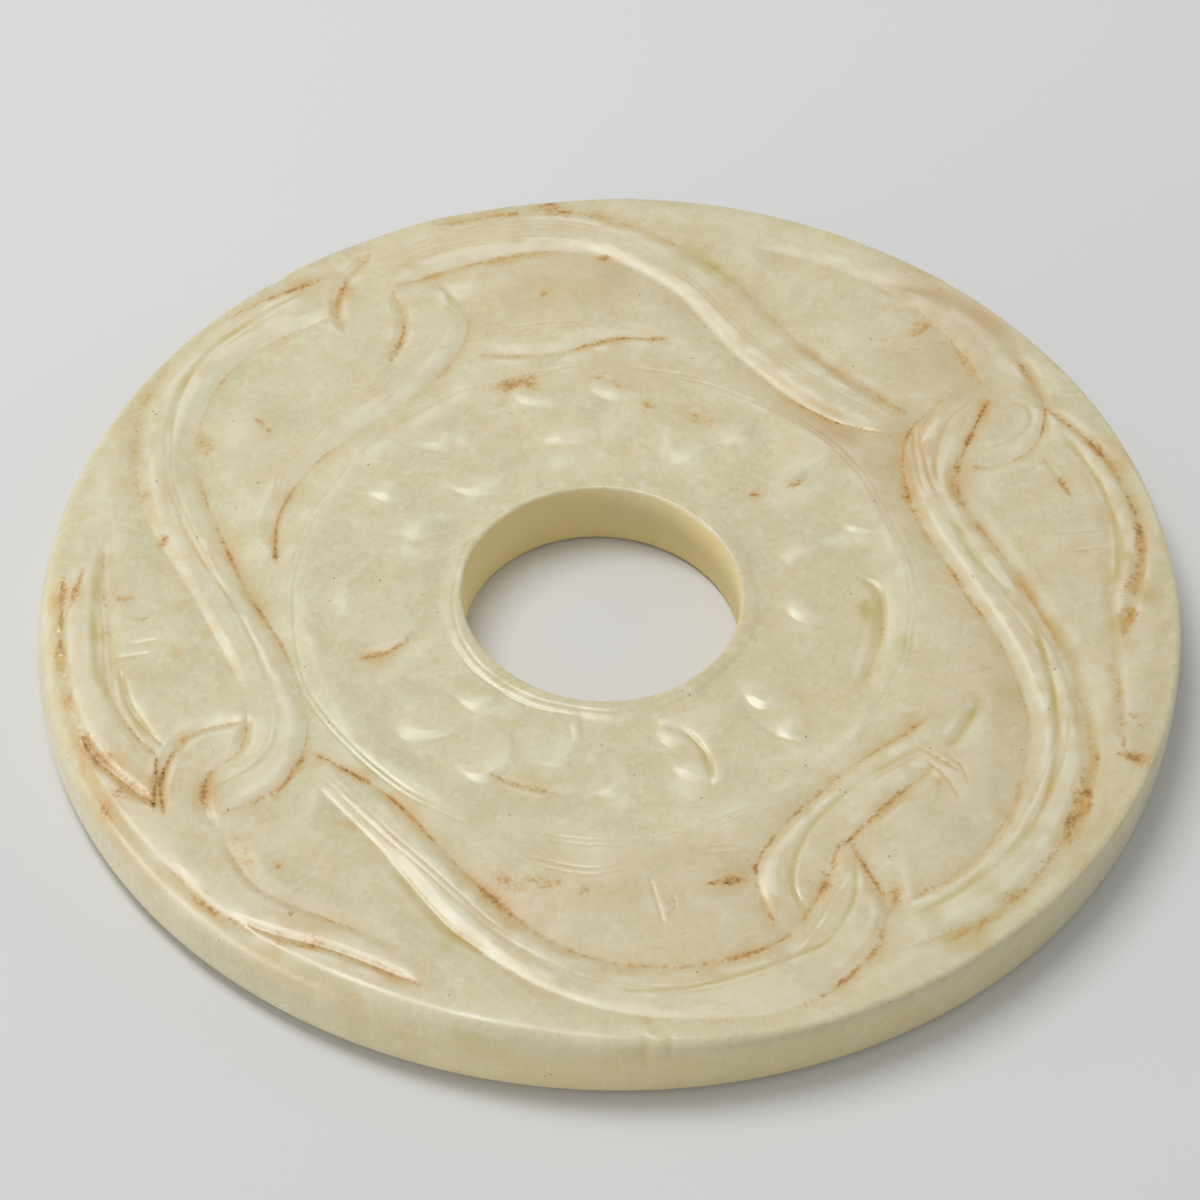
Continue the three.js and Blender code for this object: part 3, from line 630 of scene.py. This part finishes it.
# arrises are scuffed paler than the rest; crests are paler from wear and from a painted highlight; facets that face
# the near side get a painted highlight
proud = height - blurred(height, 0.3)
crests = height - blurred(height, 1.5)
ring, width = wearAndHighlight["fleckRing"]
flecks = np.exp(-((holeDistance - ring) / width) ** 2) * smooth(0.5, 1.3, grit(0.25))
scuffsAndCrestHighlight = (np.clip(proud / wearAndHighlight["arris"], 0, 1) * smooth(-0.8, 0.8, grit(0.35))
          + np.clip(crests / wearAndHighlight["crest"], 0, 0.4))
downhill, sideways = np.gradient(height, mapGrid["cell"])
slope = wearAndHighlight["nearTilt"][0] * downhill + wearAndHighlight["nearTilt"][1] * sideways
nearFacingHighlight = smooth(*wearAndHighlight["nearSlope"], slope) * (0.4 + 0.3 * smooth(-1, 1, grit(0.4)))
facets = stainsAndHighlights["pale"] * (0.8 + 0.25 * grit(0.3))
# worn: the arris scuffs, the crests paler from wear and a painted highlight, and the painted highlight on near-facing
# facets; none by the hole
worn = np.maximum(scuffsAndCrestHighlight, nearFacingHighlight) * smooth(*wearAndHighlight["lipClear"], holeDistance)
stainsAndHighlights["pale"] = np.clip(np.maximum(facets, worn) + wearAndHighlight["fleckPale"] * flecks, 0, 1)
print("face worn and stained")

ringMesh = {
    "sides": 1800,
    "faceRows": 340,
    "wallRows": 8,
    "arrisRows": 10,
    "backRows": 240,
    "triangles": 196000,
    "faceDepth": 0.95,  # no part of the carved face lies deeper
    "clear": 0.05,
}

# The hidden face is plain: two scratched rings round the hole and one inside the rim
back = {"rings": (7.9, 15.3, 26.2), "depth": 0.09, "width": 0.22}


def arrisAt(angle):
    # how far the upper rim's rounding reaches in from the side and down from the face
    worn = smooth(*disc["wornSpan"], 0.5 + 0.5 * np.cos(angle - math.radians(disc["wornTowards"])))
    chipped = 0
    for degrees, width, size in disc["chips"]:
        apart = np.angle(np.exp(1j * (angle - math.radians(degrees)))) * disc["radius"]
        chipped = chipped + size * np.exp(-(apart / width) ** 2)
    crisp, soft = disc["crispArris"], disc["softArris"]
    return [crisp[i] + (soft[i] - crisp[i]) * worn + chipped for i in (0, 1)]


def ringOfRows():
    # closed loop of rows: carved face out, rim down, back in, bore up
    angle = np.linspace(0, 2 * math.pi, ringMesh["sides"], endpoint=False)
    unit = np.stack([np.cos(angle), np.sin(angle)], 1)
    rim = rimRadius(angle)
    bore = disc["holeRadius"] * outOfRound(angle, disc["holeOval"])
    arrisIn, arrisDown = arrisAt(angle)
    quarter = np.linspace(0, math.pi / 2, ringMesh["arrisRows"])[1:]
    wall = np.linspace(0, 1, ringMesh["wallRows"])[1:]
    rows = []

    def addRow(xy, z):
        rows.append(np.column_stack([xy, np.broadcast_to(z, (len(xy),))]))

    def atRim(inset):
        return unit * (rim - inset)[:, None]

    def atBore(inset):
        return disc["holeCentre"] + unit * (bore + inset)[:, None]

    inner, outer = atBore(disc["lipArris"]), atRim(arrisIn)
    for share in np.linspace(0, 1, ringMesh["faceRows"]):
        xy = inner + (outer - inner) * share
        addRow(xy, thickness + sample(height, xy[:, 0], xy[:, 1]))
    edge = rows[-1][:, 2]
    for turn in quarter:
        addRow(atRim(arrisIn * (1 - math.sin(turn))), edge - arrisDown * (1 - math.cos(turn)))
    top = rows[-1][:, 2]
    low = disc["lowerArris"]
    for share in wall:
        bulge = disc["rimBulge"] * math.sin(math.pi * share)
        addRow(atRim(-bulge), top + (low - top) * share)
    for turn in quarter:
        addRow(atRim(low * (1 - math.cos(turn))), low * (1 - math.sin(turn)))
    small = disc["boreArris"]
    outer, inner = atRim(low), atBore(small)
    for share in np.linspace(0, 1, ringMesh["backRows"])[1:]:
        xy = outer + (inner - outer) * share
        fromHole = np.linalg.norm(xy - disc["holeCentre"], axis=1)
        groove = sum(np.exp(-((fromHole - radius) / back["width"]) ** 2) for radius in back["rings"])
        addRow(xy, back["depth"] * groove)
    for turn in quarter:
        addRow(atBore(small * (1 - math.sin(turn))), small * (1 - math.cos(turn)))
    lip = disc["lipArris"]
    top = rows[0][:, 2] - lip
    for share in wall:
        addRow(atBore(0), small + (top - small) * share)
    for turn in quarter[:-1]:
        addRow(atBore(lip * (1 - math.cos(turn))), top + lip * math.sin(turn))
    return np.array(rows)


def ringFaces(rowCount, sides):
    row, side = np.meshgrid(np.arange(rowCount), np.arange(sides), indexing="ij")
    nextRow, nextSide = (row + 1) % rowCount, (side + 1) % sides
    quads = np.stack([row * sides + side, nextRow * sides + side,
                      nextRow * sides + nextSide, row * sides + nextSide], -1)
    return quads.reshape(-1, 4)


def meshFromArrays(name, points, faces):
    mesh = bpy.data.meshes.new(name)
    mesh.vertices.add(len(points))
    mesh.vertices.foreach_set("co", points.astype(np.float32).ravel())
    corners = faces.shape[1]
    mesh.loops.add(faces.size)
    mesh.loops.foreach_set("vertex_index", faces.astype(np.int32).ravel())
    mesh.polygons.add(len(faces))
    mesh.polygons.foreach_set("loop_start", np.arange(0, faces.size, corners, dtype=np.int32))
    mesh.polygons.foreach_set("loop_total", np.full(len(faces), corners, np.int32))
    mesh.update(calc_edges=True)
    mesh.validate()
    return mesh


def thinned(mesh, triangles):
    # fewer triangles where the face is even, all of them along the cuts
    stand = bpy.data.objects.new("thinning", mesh)
    addToScene(stand)
    split = stand.modifiers.new("split", "TRIANGULATE")
    split.quad_method = "BEAUTY"
    thin = stand.modifiers.new("thin", "DECIMATE")
    thin.ratio = triangles / (2 * len(mesh.polygons))
    ready = stand.evaluated_get(bpy.context.evaluated_depsgraph_get())
    result = bpy.data.meshes.new_from_object(ready)
    bpy.data.objects.remove(stand)
    return result


rows = ringOfRows()
points = rows.reshape(-1, 3)
faceEnd = ringMesh["faceRows"] * ringMesh["sides"]

# while thinning, stains count as a little extra height, so their edges keep enough points
stainLift = 0.06 * (stainsAndHighlights["rust"] + 0.5 * stainsAndHighlights["ochre"] + 0.5 * stainsAndHighlights["green"])
lifted = points.copy()
lifted[:faceEnd, 2] += sample(stainLift, points[:faceEnd, 0], points[:faceEnd, 1])
mesh = meshFromArrays("carvedJade", lifted, ringFaces(len(rows), ringMesh["sides"]))
mesh = thinned(mesh, ringMesh["triangles"])
print("mesh of", len(mesh.polygons), "faces")

flat = np.zeros(len(mesh.vertices) * 3, np.float32)
mesh.vertices.foreach_get("co", flat)
places = flat.reshape(-1, 3).astype(float)
heading = np.arctan2(places[:, 1], places[:, 0])
fromRim = rimRadius(heading) - np.hypot(places[:, 0], places[:, 1])
fromHole = np.hypot(*(places[:, :2] - disc["holeCentre"]).T)
lipEdge = disc["holeRadius"] * disc["holeWidest"] + disc["lipArris"]
onFace = ((places[:, 2] > thickness - ringMesh["faceDepth"])
          & (fromRim > arrisAt(heading)[0] + ringMesh["clear"]) & (fromHole > lipEdge + ringMesh["clear"]))
places[onFace, 2] = thickness + sample(height, places[onFace, 0], places[onFace, 1])

# Golden skin on the bore and, thinner, on part of the rim: where it begins and is full (mm)
goldenSkin = {
    "boreEdge": (7.0, 7.25),
    "boreDown": (0.04, 0.17),
    "rimEdge": (0.1, 0.6),
    "rimDown": (0.3, 1.0),
    "rimTowards": 280,  # degrees
    "rimSpan": (0.85, 0.99),
    "rimShare": 0.5,
    "stainsDown": (0.6, 1.6),  # the other stains and the pale marks fade out here, down the rim
}
depthDown = np.clip(thickness - places[:, 2], 0, None)
nearTop = 1 - smooth(*goldenSkin["stainsDown"], depthDown)
layers = {name: sample(values, places[:, 0], places[:, 1]) * nearTop for name, values in stainsAndHighlights.items()}
onBore = (1 - smooth(*goldenSkin["boreEdge"], fromHole)) * smooth(*goldenSkin["boreDown"], depthDown)
shaded = smooth(*goldenSkin["rimSpan"], 0.5 + 0.5 * np.cos(heading - math.radians(goldenSkin["rimTowards"])))
onRim = shaded * (1 - smooth(*goldenSkin["rimEdge"], fromRim)) * smooth(*goldenSkin["rimDown"], depthDown)
layers["skin"] = np.maximum(onBore, goldenSkin["rimShare"] * onRim)
for name, values in layers.items():
    mesh.attributes.new(name, "FLOAT", "POINT").data.foreach_set("value", values.astype(np.float32))

# the outline's centre goes where the CAD part has it, and millimetres become metres
angles = np.linspace(0, 2 * math.pi, 3600)
outlineX, outlineY = rimRadius(angles) * np.cos(angles), rimRadius(angles) * np.sin(angles)
discLow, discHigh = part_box("jade_disc")
middle = (discLow + discHigh) / 2
shift = Vector((middle.x - (outlineX.min() + outlineX.max()) / 2 * millimetre,
                middle.y - (outlineY.min() + outlineY.max()) / 2 * millimetre, discLow.z))
places = places * millimetre + np.array(shift)
mesh.vertices.foreach_set("co", places.astype(np.float32).ravel())
mesh.polygons.foreach_set("use_smooth", np.ones(len(mesh.polygons), bool))
mesh.update()
jadeDisc = bpy.data.objects.new("carved_jade_disc", mesh)
addToScene(jadeDisc)
print("disc placed, centre", [round(v / millimetre, 2) for v in shift])


def linear(hexCode):
    parts = [int(hexCode[i:i + 2], 16) / 255 for i in (1, 3, 5)]
    return [c / 12.92 if c <= 0.04045 else ((c + 0.055) / 1.055) ** 2.4 for c in parts] + [1.0]


def node(tree, kind, inputs=None, **settings):
    # adds a node, sets its properties, then its sockets: a value, or another node's output to link
    made = tree.nodes.new(kind)
    for name, value in settings.items():
        setattr(made, name, value)
    for name, value in (inputs or {}).items():
        if isinstance(value, bpy.types.NodeSocket):
            tree.links.new(value, made.inputs[name])
        else:
            made.inputs[name].default_value = value
    return made


# Nephrite, ground and polished by hand: waxy, cloudy and soft in colour, duller where it is scuffed,
# and rust has settled in the cuts where polish never reached
nephrite = {
    "colours": {
        "celadon": "#d5ccab", "cream": "#d9cea9", "cloud": "#c8c09a", "honey": "#d3bf8a", "milk": "#e9e3cb",
        "wash": "#c39c6a", "ochre": "#cda663", "green": "#b9ad5e", "skin": "#edd89a",
        "rust": "#c09049", "deepRust": "#8a5d28", "speck": "#3f2818",
    },
    "ior": 1.61,
    "gloss": 0.4,
    "roughness": (0.22, 0.33),
    "duller": {"pale": 0.12, "skin": 0.35},  # how much rougher the pale facets (scuffed, with a painted highlight) and the skin of the bore are
    # noises: patches across (mm), detail and roughness
    "noises": {
        "broad": (9, 2, 0.55), "clouds": (3.2, 3, 0.55), "drifts": (2.0, 4, 0.7), "wisps": (1.3, 4, 0.75),
        "mottle": (0.4, 3, 0.55), "flakes": (0.3, 3, 0.7),
        "rust": (0.2, 2, 0.55), "specks": (1.1, 1, 0.55), "polish": (2.2, 2, 0.55),
    },
    # the cloudy body over celadon: noise, where in it the colour begins and is full, how much covers, colour
    "body": [
        ("broad", 0.38, 0.62, 1.0, "cream"), ("clouds", 0.42, 0.68, 0.7, "cloud"), ("drifts", 0.5, 0.72, 0.6, "honey"),
        ("wisps", 0.52, 0.75, 0.5, "milk"), ("mottle", 0.5, 0.72, 0.6, "cloud"), ("flakes", 0.5, 0.75, 0.45, "milk"),
    ],
    # scratches of each way of polishing: heading (radians) and length (mm), drawn wider than they are to show
    "scratches": [(0.3, 5), (1.35, 4), (2.4, 6)],
    "scratchWidth": 0.09,
    "scratchNoise": (0.68, 0.82),
    "scratchCover": 0.45,
    # stains, scuffs and painted highlights from the broadest to the sharpest: layer, how much covers, colour
    "stainsAndHighlights": [("wash", 0.78, "wash"), ("green", 0.85, "green"), ("ochre", 0.8, "ochre"), ("skin", 0.9, "skin"),
               ("pale", 0.66, "milk")],
    # rust: how far strong rust closes the gaps between its grains, and where it begins, covers and darkens
    "rustClose": 0.42,
    "rustFrom": (0.03, 0.25),
    "rustGrains": (0.5, 0.84),
    "rustDeep": (0.76, 1.04),
    "rustCover": 0.82,
    # dark specks, thick in the rust and thin elsewhere: where they begin and are full, how dark,
    # and the edge and core of each in spacings
    "speckSpacing": 0.55,
    "specksInRust": (0.45, 0.9, 0.8, 0.2, 0.1),
    "specksAround": (0.62, 0.68, 0.6, 0.13, 0.07),
}


def nephritePolished():
    material = bpy.data.materials.new("nephrite_polished_by_hand")
    material.use_nodes = True
    tree = material.node_tree
    tree.nodes.clear()
    place = node(tree, "ShaderNodeTexCoord").outputs["Object"]
    layer = {name: node(tree, "ShaderNodeAttribute", attribute_name=name).outputs["Fac"] for name in layers}
    tone = {name: linear(hexCode) for name, hexCode in nephrite["colours"].items()}
    noise = {}
    for name, (size, detail, roughness) in nephrite["noises"].items():
        noise[name] = node(tree, "ShaderNodeTexNoise", {
            "Vector": place, "Scale": 1 / (size * millimetre), "Detail": detail, "Roughness": roughness,
        }).outputs["Fac"]

    # coats of colour, each over the ones before: value, where the coat begins and is full, cover, colour
    coats = [(noise[name], begin, full, cover, tone[colour]) for name, begin, full, cover, colour in nephrite["body"]]
    strongest = 0.0
    for turn, length in nephrite["scratches"]:
        grain = node(tree, "ShaderNodeMapping", {
            "Vector": place, "Rotation": (0, 0, turn),
            "Scale": (length * millimetre, nephrite["scratchWidth"] * millimetre, 5 * millimetre),
        }, vector_type="TEXTURE")
        streak = node(tree, "ShaderNodeTexNoise", {"Vector": grain.outputs["Vector"], "Scale": 1.0, "Detail": 1.0})
        strongest = node(tree, "ShaderNodeMath", {0: streak.outputs["Fac"], 1: strongest},
                         operation="MAXIMUM").outputs["Value"]
    coats.append((strongest, *nephrite["scratchNoise"], nephrite["scratchCover"], tone["milk"]))
    coats += [(layer[name], 0, 1, cover, tone[colour]) for name, cover, colour in nephrite["stainsAndHighlights"]]

    # rust lies in grains of a fifth of a millimetre, close together and darker where it is strong
    grains = node(tree, "ShaderNodeMath", {0: layer["rust"], 1: nephrite["rustClose"], 2: noise["rust"]},
                  operation="MULTIPLY_ADD").outputs["Value"]
    begin, full = nephrite["rustFrom"]
    cover = node(tree, "ShaderNodeMapRange", {
        "Value": layer["rust"], "From Min": begin, "From Max": full, "To Max": nephrite["rustCover"]})
    begin, full = nephrite["rustDeep"]
    deep = node(tree, "ShaderNodeMapRange", {"Value": grains, "From Min": begin, "From Max": full})
    rust = node(tree, "ShaderNodeMix", {0: deep.outputs["Result"], 6: tone["rust"], 7: tone["deepRust"]},
                data_type="RGBA")
    coats.append((grains, *nephrite["rustGrains"], cover.outputs["Result"], rust.outputs[2]))

    cells = node(tree, "ShaderNodeTexVoronoi", {
        "Vector": place, "Scale": 1 / (nephrite["speckSpacing"] * millimetre), "Randomness": 1.0})
    for value, specks in ((layer["rust"], nephrite["specksInRust"]), (noise["specks"], nephrite["specksAround"])):
        begin, full, dark, edge, core = specks
        cover = node(tree, "ShaderNodeMapRange", {
            "Value": value, "From Min": begin, "From Max": full, "To Max": dark})
        coats.append((cells.outputs["Distance"], edge, core, cover.outputs["Result"], tone["speck"]))

    colour = tone["celadon"]
    for value, begin, full, cover, over in coats:
        amount = node(tree, "ShaderNodeMapRange", {
            "Value": value, "From Min": begin, "From Max": full, "To Max": cover})
        colour = node(tree, "ShaderNodeMix", {0: amount.outputs["Result"], 6: colour, 7: over},
                      data_type="RGBA").outputs[2]

    # polish: a little duller in patches, on the pale facets and on the skin
    smoothest, dullest = nephrite["roughness"]
    dull = node(tree, "ShaderNodeMapRange", {
        "Value": noise["polish"], "From Min": 0.3, "From Max": 0.7, "To Min": smoothest, "To Max": dullest,
    }).outputs["Result"]
    for name, more in nephrite["duller"].items():
        dull = node(tree, "ShaderNodeMath", {0: layer[name], 1: more, 2: dull},
                    operation="MULTIPLY_ADD").outputs["Value"]
    stone = node(tree, "ShaderNodeBsdfPrincipled", {
        "Base Color": colour, "Roughness": dull, "IOR": nephrite["ior"], "Specular IOR Level": nephrite["gloss"],
    })
    node(tree, "ShaderNodeOutputMaterial", {"Surface": stone.outputs["BSDF"]})
    return material


mesh.materials.append(nephritePolished())
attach(jadeDisc, "root")
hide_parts("jade_disc")
print("nephrite on")

studio = {
    "floor": "#dcdcdc",
    "floorRoughness": 0.9,
    "floorSize": 1.2,
    "floorGap": 0.00002,
    "world": "#f4f5f5",
    "worldStrength": 0.43,
    # place (m), width and height (m), watts and tint of each soft light
    "lights": {
        "overheadSoftbox": ((-0.09, 0.075, 0.29), (0.08, 0.18), 0.51, "#ffffff"),
        "rightSoftbox": ((0.4, 0.05, 0.2), (0.3, 0.15), 0.16, "#ffffff"),
        "leftSoftbox": ((-0.6, -0.22, 0.06), (0.5, 0.1), 1.45, "#fffdf9"),
    },
}

# matt paint, so that the floor shows only the soft shadow
half = studio["floorSize"] / 2
floorZ = discLow.z - studio["floorGap"]
corners = np.array([(-half, -half, floorZ), (half, -half, floorZ), (half, half, floorZ), (-half, half, floorZ)])
floorMesh = meshFromArrays("floorSheet", corners, np.array([[0, 1, 2, 3]]))
floorPaint = bpy.data.materials.new("floor_matte_paint")
floorPaint.use_nodes = True
paint = floorPaint.node_tree.nodes["Principled BSDF"]
paint.inputs["Base Color"].default_value = linear(studio["floor"])
paint.inputs["Roughness"].default_value = studio["floorRoughness"]
floorMesh.materials.append(floorPaint)
floor = bpy.data.objects.new("floor", floorMesh)
addToScene(floor)

world = bpy.data.worlds.new("softRoom")
world.use_nodes = True
room = world.node_tree.nodes["Background"]
room.inputs["Color"].default_value = linear(studio["world"])
room.inputs["Strength"].default_value = studio["worldStrength"]
bpy.context.scene.world = world
for name, (place, size, watts, tint) in studio["lights"].items():
    lamp = bpy.data.lights.new(name, "AREA")
    lamp.shape = "RECTANGLE"
    lamp.size, lamp.size_y = size
    lamp.energy = watts
    lamp.color = linear(tint)[:3]
    holder = bpy.data.objects.new(name, lamp)
    holder.location = place
    holder.rotation_euler = (-Vector(place)).to_track_quat("-Z", "Y").to_euler()
    addToScene(holder)

# The viewpoint: how high it looks down from, how far away, and where the disc sits in the picture
viewpoint = {
    "elevation": 50.25,  # degrees
    "roll": 0.36,
    "distance": 6.494,  # disc radii
    "focal": 3605.0,  # pixels of a 1200 pixel picture
    "picture": 1200.0,
    "right": 8.6,  # how far the aim lies from the picture's middle, pixels
    "down": 31.6,
    "sensor": 36.0,
}
lens = bpy.data.cameras.new("viewCamera")
lens.sensor_width = viewpoint["sensor"]
lens.lens = viewpoint["focal"] / viewpoint["picture"] * viewpoint["sensor"]
lens.shift_x = -viewpoint["right"] / viewpoint["picture"]
lens.shift_y = viewpoint["down"] / viewpoint["picture"]
lens.clip_start = 0.01
holder = bpy.data.objects.new("viewCamera", lens)
rise = math.radians(viewpoint["elevation"])
away = viewpoint["distance"] * disc["radius"] * millimetre
stand = shift + Vector((0, -math.cos(rise), math.sin(rise))) * away
tilt = Matrix.Rotation(math.pi / 2 - rise, 4, "X") @ Matrix.Rotation(-math.radians(viewpoint["roll"]), 4, "Z")
holder.matrix_world = Matrix.Translation(stand) @ tilt
addToScene(holder)
bpy.context.scene.camera = holder
bpy.context.scene.view_settings.view_transform = "Standard"
print("floor, lights and camera set")
